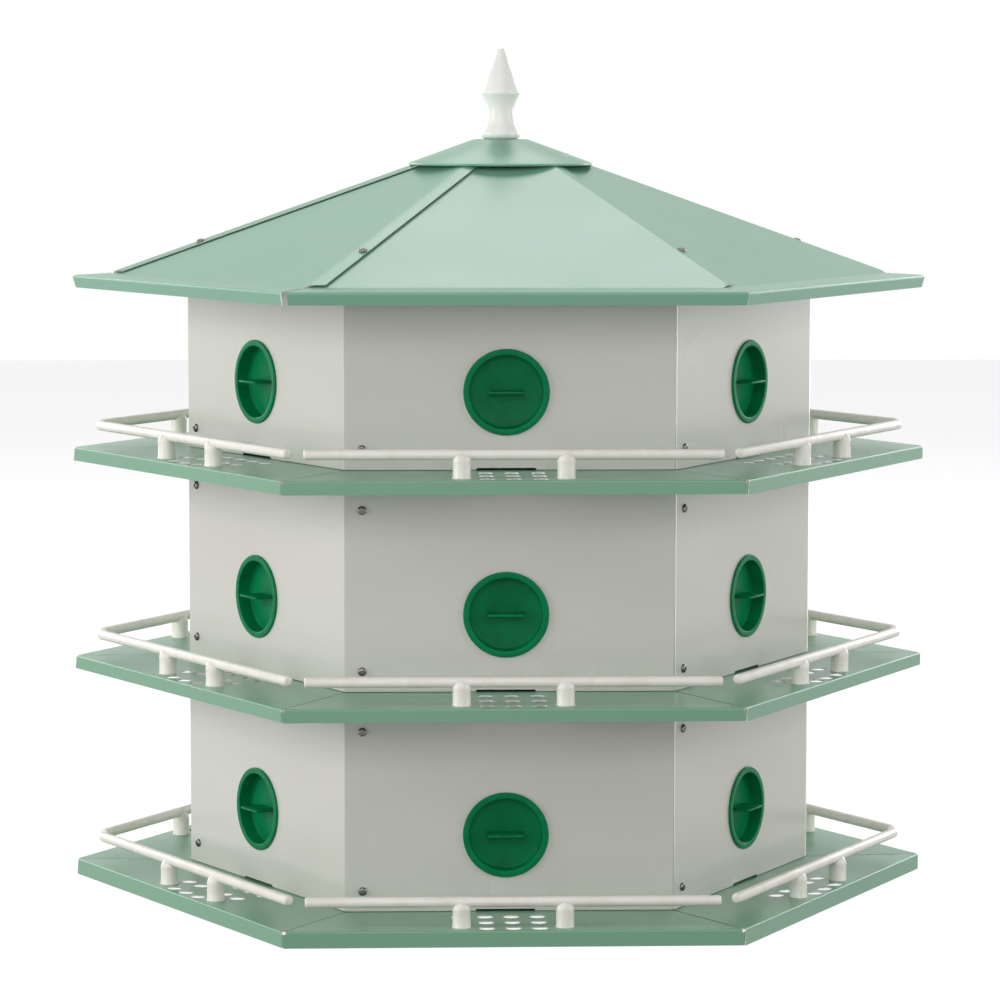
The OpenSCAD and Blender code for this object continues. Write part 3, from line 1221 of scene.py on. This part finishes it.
@dataclass
class Railings:
    """The six railings of one tier: a round rail on two posts with domed heads.

    Attributes:
        plan: Plan of the house.
        tier: Tier of the railings.
        length: Length of a rail.
        rail_r: Radius of a rail.
        rail_up: Height of the rail's centre above the floor.
        inset: Distance of the rail from the porch edge.
        post_r: Radius of a post.
        post_h: Height of a post.
        pitch: Distance between the two posts.
        settles: How far each tier's rails have settled in their posts.
    """

    plan: HousePlan
    tier: Tier
    length: float = 283.0
    rail_r: float = 3.6
    rail_up: float = 17.4
    inset: float = 14.0
    post_r: float = 6.5
    post_h: float = 18.4
    pitch: float = 70.4
    settles: tuple[float, float, float] = (0.0, 1.4, 1.2)

    def post(self, x: float) -> bmesh.types.BMesh:
        """Turns one post.

        Args:
            x: Place of the post along the porch edge.

        Returns:
            The post, on the front porch at floor height zero.
        """
        r = self.post_r
        shank = self.post_h - r
        section = [(0.0, 0.05), (r, 0.05), (r, 0.55), (r - 0.35, 1.4), (r - 0.35, shank - 1.0)]
        section += arc((0.0, shank), r - 0.2, 0, 90, 10)
        bm = turned(section, 32)
        bmesh.ops.translate(bm, vec=(x, self.inset - self.plan.porch_ap, 0.0), verts=bm.verts)
        return bm

    def rail(self) -> bmesh.types.BMesh:
        """Turns the rail.

        Returns:
            The rail, on the front porch at floor height zero.
        """
        half = self.length / 2
        r = self.rail_r
        section = [
            (0.0, half),
            *arc((r - 1.8, half - 1.8), 1.8, 90, 0, 4),
            *arc((r - 1.8, 1.8 - half), 1.8, 0, -90, 4),
            (0.0, -half),
        ]
        bm = turned(section, 28)
        level = self.rail_up - self.settles[self.tier.value]
        place = Matrix.Translation((0.0, self.inset - self.plan.porch_ap, level))
        bmesh.ops.transform(bm, matrix=place @ Matrix.Rotation(math.pi / 2, 4, "Y"), verts=bm.verts)
        return bm

    def build(self, finishes: Finishes) -> bpy.types.Object:
        """Builds the tier's railings as one piece.

        Args:
            finishes: The house's materials.

        Returns:
            The railings' piece.
        """
        whole = join([self.rail(), self.post(-self.pitch / 2), self.post(self.pitch / 2)])
        share = 1.0 - self.inset / (self.plan.porch_ap - self.plan.wall_ap)
        floor = self.plan.floors[self.tier.value] + share * self.plan.rises[self.tier.value]
        bmesh.ops.translate(whole, vec=(0.0, 0.0, floor), verts=whole.verts)
        bmesh.ops.spin(
            whole,
            geom=whole.verts[:] + whole.edges[:] + whole.faces[:],
            cent=(0, 0, 0),
            axis=(0, 0, 1),
            dvec=(0, 0, 0),
            angle=math.tau * (SIDES - 1) / SIDES,
            steps=SIDES - 1,
            use_duplicate=True,
        )
        node = f"{self.tier.label}_railings"
        piece = make_piece(f"{node}_moulded", whole, [finishes.rail], [node])
        sharpen(piece, 40)
        return piece


@dataclass
class EntrancePlugs:
    """The six plugs of one tier: a flanged cup in the entrance with a level grip tab.

    Attributes:
        plan: Plan of the house.
        tier: Tier of the plugs.
        centre_up: Height of a plug's centre above the floor.
        flange_r: Radius of the flange.
        flange_t: Thickness of the flange.
        cup_r: Outer radius of the cup.
        wall: Thickness of the cup's wall and floor.
        depth: Depth of the cup from the flange's face.
        tab_w: Width of the grip tab.
        tab_t: Thickness of the grip tab.
        tab_out: How far the tab stands out of the flange.
    """

    plan: HousePlan
    tier: Tier
    centre_up: float = 53.8
    flange_r: float = 29.75
    flange_t: float = 1.8
    cup_r: float = 26.7
    wall: float = 1.3
    depth: float = 10.0
    tab_w: float = 25.0
    tab_t: float = 1.4
    tab_out: float = 6.2

    def cup(self) -> bmesh.types.BMesh:
        """Turns the flanged cup.

        Returns:
            The cup, with its axis upright and the flange's back at zero.
        """
        inner = self.cup_r - self.wall
        bottom = self.flange_t - self.depth
        section = [
            (0.0, bottom - self.wall),
            *arc((self.cup_r - 1.2, bottom - self.wall + 1.2), 1.2, -90, 0, 4),
            (self.cup_r, -0.02),
            (self.flange_r - 0.3, -0.02),
            *arc((self.flange_r - 0.8, self.flange_t - 0.8), 0.8, 0, 90, 5),
            *arc((inner + 0.7, self.flange_t - 0.7), 0.7, 90, 180, 4),
            *arc((inner - 1.6, bottom + 1.4), 1.4, 0, -90, 5),
            (0.0, bottom),
        ]
        return turned(section, 72)

    def tab(self) -> bmesh.types.BMesh:
        """Shapes the grip tab.

        Returns:
            The tab, standing up from the cup's floor.
        """
        bm = bmesh.new()
        bmesh.ops.create_cube(bm, size=1.0)
        bottom = self.flange_t - self.depth
        top = self.flange_t + self.tab_out
        bmesh.ops.scale(bm, vec=(self.tab_w, self.tab_t, top - bottom + 0.5), verts=bm.verts)
        bmesh.ops.translate(bm, vec=(0.0, 0.0, (top + bottom - 0.5) / 2), verts=bm.verts)
        for vert in bm.verts:
            if vert.co.z > 0:
                vert.co.x *= 0.98
        corners = [
            edge
            for edge in bm.edges
            if abs(edge.verts[0].co.y - edge.verts[1].co.y) > 0.5 and edge.verts[0].co.z > 0
        ]
        bmesh.ops.bevel(
            bm,
            geom=corners,
            offset=1.6,
            segments=5,
            profile=0.5,
            affect="EDGES",
            material=-1,
            clamp_overlap=True,
        )
        rim = [edge for edge in bm.edges if edge.calc_face_angle(0.0) > math.radians(50)]
        bmesh.ops.bevel(
            bm,
            geom=rim,
            offset=0.3,
            segments=2,
            profile=0.5,
            affect="EDGES",
            material=-1,
            clamp_overlap=True,
        )
        return bm

    def build(self, finishes: Finishes) -> bpy.types.Object:
        """Builds the tier's plugs as one piece.

        Args:
            finishes: The house's materials.

        Returns:
            The plugs' piece.
        """
        pattern = join([self.cup(), self.tab()])
        level = self.plan.floors[self.tier.value] + self.centre_up
        parts = []
        for side in Side:
            part = pattern.copy()
            stand = Matrix.Translation((self.plan.shifts[side.value], -self.plan.wall_ap, level))
            bmesh.ops.transform(part, matrix=side.turn @ stand @ UPRIGHT, verts=part.verts)
            parts.append(part)
        pattern.free()
        whole = join(parts)
        label = f"{self.tier.label}_plugs"
        nodes = [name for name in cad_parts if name.startswith(label)]
        piece = make_piece(f"{label}_moulded", whole, [finishes.plug], nodes)
        sharpen(piece, 40)
        return piece


@dataclass
class RoofPanel:
    """One sixth of the roof: slope, nearly flat lip, turned-down eave and a fold over the right ridge.

    Attributes:
        plan: Plan of the house.
        side: Side of the panel.
        slope: Slope of the panel in degrees.
        lip_w: Width of the lip, level.
        lip_fall: Fall of the lip.
        eave_h: Depth of the turned-down eave.
        eave_lean: How far the eave leans inwards, in degrees.
        crease_r: Radius of the crease.
        eave_r: Radius of the eave's bend.
        ridge_r: Radius of the ridge's bend.
        lap_w: Width of the flange over the next panel.
        ridge_past: How far past the ridge the flange starts.
        left_clear: Gap left for the bend that the last panel lays over the left edge.
        flange_short: How far before the crease the flange ends.
        top_ap: Distance of the upper edge from the axis, level.
        screw_hole: Diameter of the ridge screw's hole.
        screw_r: Distance of the ridge screw from the axis, level.
        screw_edge: Distance of the ridge screw from the flange's edge.
        flange_from: Distance of the flange's upper end from the axis, level.
        gap_left: Gap at the left end of the lip and the eave.
        gap_right: Gap at the right end of the lip and the eave.
    """

    plan: HousePlan
    side: Side
    slope: float = 22.4
    lip_w: float = 25.0
    lip_fall: float = 1.6
    eave_h: float = 9.0
    eave_lean: float = 14.0
    crease_r: float = 5.0
    eave_r: float = 1.8
    ridge_r: float = 5.0
    lap_w: float = 8.8
    ridge_past: float = 4.6
    left_clear: float = 3.4
    flange_short: float = 1.2
    top_ap: float = 22.0
    screw_hole: float = 3.4
    screw_r: float = 219.0
    screw_edge: float = 3.5
    flange_from: float = 38.0
    gap_left: float = 0.5
    gap_right: float = 0.5

    @property
    def ridge_bend(self) -> float:
        """Bend over a ridge, in degrees."""
        return 2 * math.degrees(math.asin(math.sin(math.radians(self.slope)) * SIN30))

    @property
    def ridge_fall(self) -> float:
        """Fall of a ridge, in radians."""
        return math.atan(math.tan(math.radians(self.slope)) * COS30)

    @property
    def half_apex(self) -> float:
        """Half the flat panel's angle at its apex, in radians."""
        return math.atan(math.cos(math.radians(self.slope)) * TAN30)

    @property
    def crease_ap(self) -> float:
        """Distance of the crease from the axis, level."""
        return self.plan.eave_ap - self.lip_w

    @property
    def stand(self) -> Matrix:
        """Slope and height that bring the flat panel's apex over the pole."""
        slope = math.radians(self.slope)
        crease_z = self.plan.eave_foot + self.eave_h + self.lip_fall
        apex = crease_z + self.crease_ap * math.tan(slope)
        return Matrix.Translation((0.0, 0.0, apex)) @ Matrix.Rotation(slope, 4, "X")

    def on_ridge(self, along: float, over: float) -> Point:
        """Point of the flat panel beside its right ridge.

        Args:
            along: Distance down the ridge from the apex.
            over: Distance past the ridge.

        Returns:
            The point on the blank.
        """
        beta = self.half_apex
        return (
            along * math.sin(beta) + over * math.cos(beta),
            over * math.sin(beta) - along * math.cos(beta),
        )

    def sheet(self) -> bmesh.types.BMesh:
        """Folds the panel.

        Returns:
            The panel's painted face, in its place.
        """
        slope = math.radians(self.slope)
        beta = self.half_apex
        lip_slope = math.atan(self.lip_fall / self.lip_w)
        crease = math.degrees(slope - lip_slope)
        eave = 90.0 + self.eave_lean - math.degrees(lip_slope)
        crease_s = self.crease_ap / math.cos(slope)
        eave_s = crease_s + self.lip_w / math.cos(lip_slope)
        eave_tangent = self.eave_r * math.tan(math.radians(eave / 2))
        eave_at = eave_s - eave_tangent
        eave_len = self.eave_h / math.cos(math.radians(self.eave_lean))
        eave_end = eave_at + self.eave_r * math.radians(eave) + eave_len - eave_tangent
        foot_ap = self.plan.eave_ap - self.eave_h * math.tan(math.radians(self.eave_lean))
        top_s = self.top_ap / math.cos(slope)
        clear = self.left_clear / math.cos(beta)
        crease_half = self.crease_ap * TAN30
        eave_half = self.plan.eave_ap * TAN30
        foot_half = foot_ap * TAN30
        flange_s = crease_s - self.flange_short
        flange_foot = flange_s / math.cos(beta)
        over = self.ridge_past + self.lap_w
        flange_top = self.flange_from / math.cos(self.ridge_fall)
        outline = [
            (clear - top_s * math.tan(beta), -top_s),
            (clear - crease_half, -crease_s),
            (self.gap_left - crease_half, -crease_s - 0.5),
            (self.gap_left - eave_half, -eave_s),
            (self.gap_left - foot_half, -eave_end),
            (foot_half - self.gap_right, -eave_end),
            (eave_half - self.gap_right, -eave_s),
            (crease_half - self.gap_right, -crease_s - 0.5),
            self.on_ridge(flange_foot, 0.0),
            self.on_ridge(flange_foot - over * math.tan(beta), over),
            self.on_ridge(flange_top, over),
            self.on_ridge(flange_top, 0.0),
            (top_s * math.tan(beta), -top_s),
        ]
        blank = SheetBlank(outline)
        screw_along = self.screw_r / math.cos(self.ridge_fall)
        blank.punch(*self.on_ridge(screw_along, over - self.screw_edge), self.screw_hole, 14)
        blank.fill()
        crease_at = crease_s - self.crease_r * math.tan(math.radians(crease / 2))
        fold_over = self.ridge_past - self.ridge_r * math.tan(math.radians(self.ridge_bend / 2))
        blank.bend(
            [
                Fold((0.0, -crease_at), (0.0, -1.0), -crease, self.crease_r),
                Fold((0.0, -eave_at), (0.0, -1.0), eave, self.eave_r, steps=6),
                Fold(
                    self.on_ridge(0.0, fold_over),
                    (math.cos(beta), math.sin(beta)),
                    self.ridge_bend,
                    self.ridge_r,
                    within=lambda p: p.y > -0.1 - crease_at,
                    steps=6,
                ),
            ]
        )
        blank.place(self.side.turn @ self.stand)
        return blank.bm

    def build(self, finishes: Finishes) -> bpy.types.Object:
        """Builds the panel.

        Args:
            finishes: The house's materials.

        Returns:
            The panel's piece.
        """
        node = f"{self.side.label}_roof_panel"
        paints = [finishes.roof, finishes.edge]
        piece = make_piece(f"{node}_sheet", self.sheet(), paints, [node])
        thicken(piece, self.plan.sheet)
        return piece


@dataclass
class RoofCap:
    """Shallow cone over the middle of the roof, with a flat top and a rolled edge.

    Attributes:
        plan: Plan of the house.
        top_r: Radius of the flat top.
        roll: Height of the rolled edge.
    """

    plan: HousePlan
    top_r: float = 20.5
    roll: float = 2.0

    def build(self, finishes: Finishes) -> bpy.types.Object:
        """Builds the cap.

        Args:
            finishes: The house's materials.

        Returns:
            The cap's piece.
        """
        plan = self.plan
        sheet = plan.sheet
        bead = self.roll / 2
        section = [
            (0.0, plan.cap_top),
            (self.top_r - 2.5, plan.cap_top),
            (self.top_r - 0.8, plan.cap_top - 0.12),
            (self.top_r + 0.8, plan.cap_top - 0.62),
            *arc((plan.cap_r - bead, plan.cap_rim + bead), bead, 70, -110, 8),
            (plan.cap_r - 1.9 * bead, plan.cap_rim + 0.9 * bead),
            (self.top_r, plan.cap_top - sheet - 0.5),
            (self.top_r - 2.5, plan.cap_top - sheet),
            (0.0, plan.cap_top - sheet),
        ]
        spun = turned(section, 128)
        piece = make_piece("roof_cap_spun", spun, [finishes.roof], ["roof_cap"])
        sharpen(piece, 50)
        return piece


@dataclass
class Finial:
    """Turned finial: bead, hollow neck, shoulder and a long blunt point.

    Attributes:
        plan: Plan of the house.
    """

    plan: HousePlan

    def build(self, finishes: Finishes) -> bpy.types.Object:
        """Builds the finial.

        Args:
            finishes: The house's materials.

        Returns:
            The finial's piece.
        """
        foot = self.plan.cap_top + 0.05
        height = self.plan.finial_top - foot
        # Radius and height of the outline, from the bead to the blunt tip
        outline = [
            (11.6, 0.0),
            (13.2, 1.0),
            (14.1, 2.3),
            (14.4, 3.8),
            (14.1, 5.4),
            (13.1, 7.2),
            (12.0, 9.2),
            (11.1, 11.6),
            (10.4, 14.4),
            (9.9, 17.6),
            (9.8, 20.2),
            (10.1, 23.0),
            (10.8, 26.2),
            (11.9, 28.9),
            (13.2, 31.3),
            (14.1, 32.8),
            (14.4, 33.9),
            (14.1, 35.0),
            (9.1, 48.4),
            (5.35, height - 7.6),
            (2.95, height - 1.3),
            (2.2, height - 0.35),
            (1.2, height),
        ]
        section = [(0.0, foot), *[(r, foot + z) for r, z in outline], (0.0, foot + height)]
        moulded = turned(section, 64)
        piece = make_piece("finial_moulded", moulded, [finishes.finial], ["finial"])
        sharpen(piece, 50)
        return piece


@dataclass
class PoleSleeve:
    """Tube that slides onto the pole, closed at its top, with a flange under the lowest trays.

    Attributes:
        plan: Plan of the house.
        bore_r: Radius of the bore.
        wall: Thickness of the tube and the flange.
    """

    plan: HousePlan
    bore_r: float = 25.9
    wall: float = 1.6

    def build(self, finishes: Finishes) -> bpy.types.Object:
        """Builds the sleeve.

        Args:
            finishes: The house's materials.

        Returns:
            The sleeve's piece.
        """
        outer = self.bore_r + self.wall
        top = self.plan.sleeve_top
        under = self.plan.floors[0] - 2 * self.plan.sheet - self.wall
        flange = self.plan.sleeve_r
        section = [
            (0.0, top),
            *arc((outer - 0.8, top - 0.8), 0.8, 90, 0, 3),
            (outer, under + self.wall),
            *arc((flange - 0.4, under + self.wall - 0.4), 0.4, 90, 0, 2),
            *arc((flange - 0.4, under + 0.4), 0.4, 0, -90, 2),
            (outer, under),
            *arc((outer - 0.4, 0.4), 0.4, 0, -90, 2),
            (self.bore_r, 0.0),
            (self.bore_r, top - self.wall),
            (0.0, top - self.wall),
        ]
        piece = make_piece(
            "pole_sleeve_tube", turned(section, 96), [finishes.sleeve], ["pole_sleeve"]
        )
        sharpen(piece, 40)
        return piece


@dataclass
class PanScrew:
    """Pan-head screw with a cross recess.

    Attributes:
        head_r: Radius of the head.
        head_h: Height of the head.
        shank_r: Radius of the shank.
        shank_l: Length of the shank below the head.
    """

    head_r: float = 3.1
    head_h: float = 1.9
    shank_r: float = 1.5
    shank_l: float = 5.0

    def build(self, turn: float) -> bmesh.types.BMesh:
        """Shapes one screw, with its head up and the head's seat at zero.

        Args:
            turn: How far the screw was driven round, in degrees.

        Returns:
            The screw.
        """
        section = [
            (0.0, -self.shank_l),
            (self.shank_r, -self.shank_l + 1.0),
            (self.shank_r, 0.0),
            (self.head_r - 0.1, 0.0),
            (self.head_r, 0.5),
            (self.head_r * 0.93, self.head_h * 0.62),
            (self.head_r * 0.72, self.head_h * 0.9),
            (self.head_r * 0.5, self.head_h),
        ]
        bm = turned(section, 16)
        rim = [e for e in bm.edges if e.is_boundary]
        crown = bmesh.ops.contextual_create(bm, geom=rim)["faces"][0]
        bmesh.ops.inset_region(bm, faces=[crown], thickness=0.12, use_even_offset=True)
        # Every other pair of corners pulls in, which leaves the four arms of a cross
        for index, vert in enumerate(crown.verts):
            if index % 4 in (2, 3):
                vert.co.x *= 0.42
                vert.co.y *= 0.42
        pit = bmesh.ops.extrude_discrete_faces(bm, faces=[crown])["faces"][0]
        bmesh.ops.translate(bm, vec=(0.0, 0.0, -0.8), verts=pit.verts)
        bmesh.ops.scale(bm, vec=(0.7, 0.7, 1.0), verts=pit.verts)
        bmesh.ops.recalc_face_normals(bm, faces=bm.faces)
        driven = Matrix.Rotation(math.radians(turn), 3, "Z")
        bmesh.ops.rotate(bm, cent=(0, 0, 0), matrix=driven, verts=bm.verts)
        return bm


@dataclass
class Screws:
    """The screws of the house: two in each wall's left edge, and one in each ridge's flange.

    Attributes:
        plan: Plan of the house.
        screw: The screw that they all are.
    """

    plan: HousePlan
    screw: PanScrew

    def wall_screws(self, tier: Tier, finishes: Finishes) -> bpy.types.Object:
        """Drives one tier's wall screws.

        Args:
            tier: The tier.
            finishes: The house's materials.

        Returns:
            The screws' piece.
        """
        parts = []
        for side in Side:
            wall = WallPanel(self.plan, tier, side)
            x = wall.screw_in + self.plan.lap - self.plan.wall_w / 2
            for count, level in enumerate(wall.screw_levels):
                part = self.screw.build(37.0 * (tier.value + 1) + 53.0 * side.value + 71.0 * count)
                place = Matrix.Translation((x, -self.plan.wall_ap, level)) @ UPRIGHT
                bmesh.ops.transform(part, matrix=side.turn @ place, verts=part.verts)
                parts.append(part)
        piece = make_piece(f"{tier.label}_wall_screws", join(parts), [finishes.screw])
        sharpen(piece, 35)
        return piece

    def ridge_screws(self, finishes: Finishes) -> bpy.types.Object:
        """Drives the six ridge screws.

        Args:
            finishes: The house's materials.

        Returns:
            The screws' piece.
        """
        parts = []
        for side in Side:
            panel = RoofPanel(self.plan, side)
            along = panel.screw_r / math.cos(panel.ridge_fall)
            over = panel.ridge_past + panel.lap_w - panel.screw_edge
            x, y = panel.on_ridge(along, panel.ridge_past)
            beta = panel.half_apex
            axis = Vector((-math.sin(beta), math.cos(beta), 0.0))
            bent = Matrix.Rotation(math.radians(panel.ridge_bend), 4, axis)
            across = over - panel.ridge_past
            reach = Matrix.Translation((across * math.cos(beta), across * math.sin(beta), 0.0))
            part = self.screw.build(29.0 + 47.0 * side.value)
            place = Matrix.Translation((x, y, 0.0)) @ bent @ reach
            bmesh.ops.transform(part, matrix=side.turn @ panel.stand @ place, verts=part.verts)
            parts.append(part)
        piece = make_piece("ridge_screws", join(parts), [finishes.screw])
        sharpen(piece, 35)
        return piece


# ---------------------------------------------------------------------------
# Studio
# ---------------------------------------------------------------------------


@dataclass
class Studio:
    """Pale floor, white surroundings, soft lamps and the camera.

    Attributes:
        ambient: Strength of the light from all round.
        eye: Place of the camera in metres.
        pan: Turn of the camera about the vertical, in degrees.
        tilt: Tilt of the camera below level, in degrees.
        roll: Roll of the camera, in degrees.
        lens: Focal length on a 36 mm sensor.
        floor_reach: Half of the floor's width in metres.
        floor_glow: Strength of the floor's own white, as the eye sees it.
    """

    ambient: float = 0.06
    eye: tuple[float, float, float] = (-0.1080, -2.9264, 0.5661)
    pan: float = -2.113
    tilt: float = 5.634
    roll: float = 0.084
    lens: float = 143.78
    floor_reach: float = 6.0
    floor_glow: float = 0.9

    def camera(self) -> None:
        """Sets up the camera."""
        data = bpy.data.cameras.new("camera")
        data.lens = self.lens
        data.sensor_width = 36.0
        data.clip_start = 0.1
        data.clip_end = 50.0
        camera = bpy.data.objects.new("camera", data)
        turn = Euler((math.radians(90 - self.tilt), 0.0, math.radians(self.pan)), "XYZ").to_matrix().to_4x4()
        camera.matrix_world = (
            Matrix.Translation(self.eye) @ turn @ Matrix.Rotation(math.radians(self.roll), 4, "Z")
        )
        bpy.context.scene.collection.objects.link(camera)
        bpy.context.scene.camera = camera

    def softbox(
        self,
        name: str,
        place: tuple[float, float, float],
        aim: tuple[float, float, float],
        size: tuple[float, float],
        watts: float,
    ) -> None:
        """Hangs one soft lamp.

        Args:
            name: Name of the lamp.
            place: Its place in metres.
            aim: Point that it faces.
            size: Width and height of its face in metres.
            watts: Its power.
        """
        data = bpy.data.lights.new(name, "AREA")
        data.shape = "RECTANGLE"
        data.size = size[0]
        data.size_y = size[1]
        data.energy = watts
        lamp = bpy.data.objects.new(name, data)
        direction = Vector(aim) - Vector(place)
        turn = direction.to_track_quat("-Z", "Y").to_matrix().to_4x4()
        lamp.matrix_world = Matrix.Translation(place) @ turn
        lamp.visible_camera = False
        bpy.context.scene.collection.objects.link(lamp)

    def seen(self, tree: bpy.types.NodeTree) -> bpy.types.NodeSocket:
        """Tells the rays that show the background from those that carry light.

        Args:
            tree: Node tree that asks.

        Returns:
            A socket that is one for a camera, glossy or transmission ray.
        """
        path = add_node(tree, "ShaderNodeLightPath")
        shine = add_node(
            tree,
            "ShaderNodeMath",
            {0: path.outputs["Is Glossy Ray"], 1: path.outputs["Is Transmission Ray"]},
            operation="MAXIMUM",
        )
        both = add_node(
            tree,
            "ShaderNodeMath",
            {0: path.outputs["Is Camera Ray"], 1: shine.outputs["Value"]},
            operation="MAXIMUM",
        )
        return both.outputs["Value"]

    def surroundings(self) -> None:
        """Sets the world: white to the eye, softer as light."""
        world = bpy.data.worlds.new("white_surroundings")
        world.use_nodes = True
        tree = world.node_tree
        tree.nodes.clear()
        strength = add_node(
            tree,
            "ShaderNodeMapRange",
            {"Value": self.seen(tree), "To Min": self.ambient, "To Max": 1.0},
        )
        light = add_node(
            tree,
            "ShaderNodeBackground",
            {"Color": rgb("#FFFFFF"), "Strength": strength.outputs["Result"]},
        )
        add_node(tree, "ShaderNodeOutputWorld", {"Surface": light.outputs["Background"]})
        bpy.context.scene.world = world

    def floor(self) -> None:
        """Lays the floor: white to the eye, with the house's soft shadow on it."""
        bm = bmesh.new()
        bmesh.ops.create_grid(bm, x_segments=2, y_segments=2, size=self.floor_reach)
        mesh = bpy.data.meshes.new("studio_floor")
        bm.to_mesh(mesh)
        bm.free()
        made = blank_material("matt_white_paper")
        tree = made.node_tree
        paper = add_node(tree, "ShaderNodeBsdfDiffuse", {"Color": rgb("#ACACAC")})
        shade = add_node(tree, "ShaderNodeBsdfDiffuse", {"Color": rgb("#7A7A7A")})
        glow = {"Color": rgb("#FFFFFF"), "Strength": self.floor_glow}
        white = add_node(tree, "ShaderNodeEmission", glow)
        lit = add_node(tree, "ShaderNodeAddShader", {0: shade.outputs["BSDF"], 1: white.outputs["Emission"]})
        surface = add_node(
            tree,
            "ShaderNodeMixShader",
            {0: self.seen(tree), 1: paper.outputs["BSDF"], 2: lit.outputs["Shader"]},
        )
        add_node(tree, "ShaderNodeOutputMaterial", {"Surface": surface.outputs["Shader"]})
        mesh.materials.append(made)
        ground = bpy.data.objects.new("studio_floor", mesh)
        bpy.context.scene.collection.objects.link(ground)

    def build(self) -> None:
        """Sets up the floor, the light and the camera."""
        bpy.context.scene.view_settings.view_transform = "Standard"
        self.camera()
        self.surroundings()
        self.floor()
        middle = (0.0, 0.0, 0.3)
        self.softbox("overhead_softbox", (-0.2, -1.5, 2.7), middle, (2.4, 2.0), 14.0)
        self.softbox("high_back_softbox", (0.0, 1.75, 2.75), middle, (2.4, 1.1), 32.0)
        self.softbox("left_softbox", (-2.5, -0.9, 0.75), middle, (1.4, 1.6), 39.0)
        self.softbox("right_softbox", (2.5, -0.8, 0.75), middle, (1.4, 1.6), 25.0)
        self.softbox("front_softbox", (-0.3, -3.6, 1.3), middle, (2.0, 1.6), 34.0)
        self.softbox("left_back_softbox", (-2.2, 2.4, 1.0), middle, (1.4, 1.6), 32.0)
        self.softbox("right_back_softbox", (2.2, 2.4, 1.0), middle, (1.4, 1.6), 32.0)


def main() -> None:
    """Builds the house and the studio."""
    logging.basicConfig(level=logging.INFO, format="%(name)s: %(message)s")
    plan = HousePlan.from_frame()
    finishes = Finishes.mix()
    for tier in Tier:
        for side in Side:
            WallPanel(plan, tier, side).build(finishes)
        for first in (0, 1):
            TraySet(plan, tier, first).build(finishes)
        Railings(plan, tier).build(finishes)
        EntrancePlugs(plan, tier).build(finishes)
    roof = {side: RoofPanel(plan, side) for side in Side}
    # The left front panel's ridge was bent soft, and the front panel's eave ends short of it
    roof[Side.LEFT_FRONT] = RoofPanel(plan, Side.LEFT_FRONT, ridge_r=20.0)
    roof[Side.FRONT] = RoofPanel(plan, Side.FRONT, gap_left=4.2)
    for panel in roof.values():
        panel.build(finishes)
    RoofCap(plan).build(finishes)
    Finial(plan).build(finishes)
    PoleSleeve(plan).build(finishes)
    screws = Screws(plan, PanScrew())
    for tier in Tier:
        screws.wall_screws(tier, finishes)
    screws.ridge_screws(finishes)
    Studio().build()


if __name__ == "__main__":
    main()
